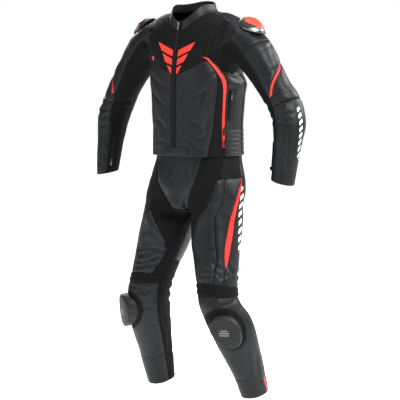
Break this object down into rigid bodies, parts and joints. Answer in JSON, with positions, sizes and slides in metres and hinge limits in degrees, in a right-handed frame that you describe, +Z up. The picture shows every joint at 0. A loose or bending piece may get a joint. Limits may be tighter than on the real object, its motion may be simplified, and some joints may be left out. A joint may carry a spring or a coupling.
{
  "type": "motorcycle race suit",
  "caption": "Two-piece leather motorcycle race suit, filled out as worn, with stretch panels, red stripes, shoulder cups, knee sliders and zips.",
  "frame": {"origin": "between the wearer's shoulders at the base of the neck, where the suit is carried", "axes": "+X towards the wearer's left, -Y forward, +Z up"},
  "size_m": [0.9226, 0.3313, 1.4316],
  "materials": {
    "black_leather": "satin grained cowhide",
    "yoke_leather": "matt, finely perforated",
    "stretch_cloth": "matt woven stretch cloth",
    "red_leather": "satin",
    "zip_tape": "woven tape with moulded teeth",
    "zip_metal": "dark nickel",
    "cup_plastic": "moulded",
    "red_plastic": "moulded",
    "slider_plastic": "moulded, ridged"
  },
  "bodies": {
    "suit": {"back": "black_leather", "back_yoke": "black_leather", "calf_L": "stretch_cloth", "calf_R": "stretch_cloth", "chest_stripe_L": "red_leather", "chest_stripe_R": "red_leather", "collar": "black_leather", "fly": "black_leather", "forearm_L": "black_leather", "forearm_R": "black_leather", "front_L": "black_leather", "front_R": "black_leather", "front_slider": "zip_metal", "front_stretch_L": "stretch_cloth", "front_stretch_R": "stretch_cloth", "front_zip": "zip_tape", "knee_L": "black_leather", "knee_R": "black_leather", "knee_band_L": "stretch_cloth", "knee_band_R": "stretch_cloth", "knee_slider_L": "slider_plastic", "knee_slider_R": "slider_plastic", "pocket_zip_L": "zip_tape", "pocket_zip_R": "zip_tape", "seat": "black_leather", "shoulder_L": "black_leather", "shoulder_R": "black_leather", "shoulder_cup_L": "cup_plastic", "shoulder_cup_R": "cup_plastic", "shoulder_plate_L": "red_plastic", "shoulder_plate_R": "red_plastic", "side_L": "black_leather", "side_R": "black_leather", "side_front_L": "stretch_cloth", "side_front_R": "stretch_cloth", "sleeve_inner_L": "stretch_cloth", "sleeve_inner_R": "stretch_cloth", "sleeve_outer_L": "black_leather", "sleeve_outer_R": "black_leather", "sleeve_stripe_L": "red_leather", "sleeve_stripe_R": "red_leather", "thigh_front_L": "black_leather", "thigh_front_R": "black_leather", "thigh_side_L": "black_leather", "thigh_side_R": "black_leather", "thigh_stripe_L": "red_leather", "thigh_stripe_R": "red_leather", "thigh_wedge_L": "black_leather", "thigh_wedge_R": "black_leather", "waist_tab": "black_leather", "wrist_zip_L": "zip_tape", "wrist_zip_R": "zip_tape", "yoke_front_L": "yoke_leather", "yoke_front_R": "yoke_leather"},
    "front_pull_tab": {"front_pull": "zip_metal"},
    "pocket_pull_R_tab": {"pocket_pull_R": "zip_metal"},
    "wrist_pull_R_tab": {"wrist_pull_R": "zip_metal"},
    "pocket_pull_L_tab": {"pocket_pull_L": "zip_metal"},
    "wrist_pull_L_tab": {"wrist_pull_L": "zip_metal"}
  },
  "joints": [
    {"name": "front_pull_hinge", "type": "hinge", "parent": "suit", "child": "front_pull_tab", "pos_m": [0, -0.10627, -0.01272], "axis": [-1, 0, 0], "range_deg": [0, 150]},
    {"name": "pocket_pull_R_hinge", "type": "hinge", "parent": "suit", "child": "pocket_pull_R_tab", "pos_m": [-0.17456, -0.01891, -0.2611], "axis": [-0.1129, 0.9931, 0.0323], "range_deg": [0, 150]},
    {"name": "wrist_pull_R_hinge", "type": "hinge", "parent": "suit", "child": "wrist_pull_R_tab", "pos_m": [-0.36773, -0.05171, -0.51719], "axis": [-0.587, -0.799, 0.1309], "range_deg": [0, 150]},
    {"name": "pocket_pull_L_hinge", "type": "hinge", "parent": "suit", "child": "pocket_pull_L_tab", "pos_m": [0.17456, -0.01891, -0.2611], "axis": [-0.1129, -0.9931, -0.0323], "range_deg": [0, 150]},
    {"name": "wrist_pull_L_hinge", "type": "hinge", "parent": "suit", "child": "wrist_pull_L_tab", "pos_m": [0.36773, -0.05171, -0.51719], "axis": [-0.587, 0.799, -0.1309], "range_deg": [0, 150]}
  ]
}
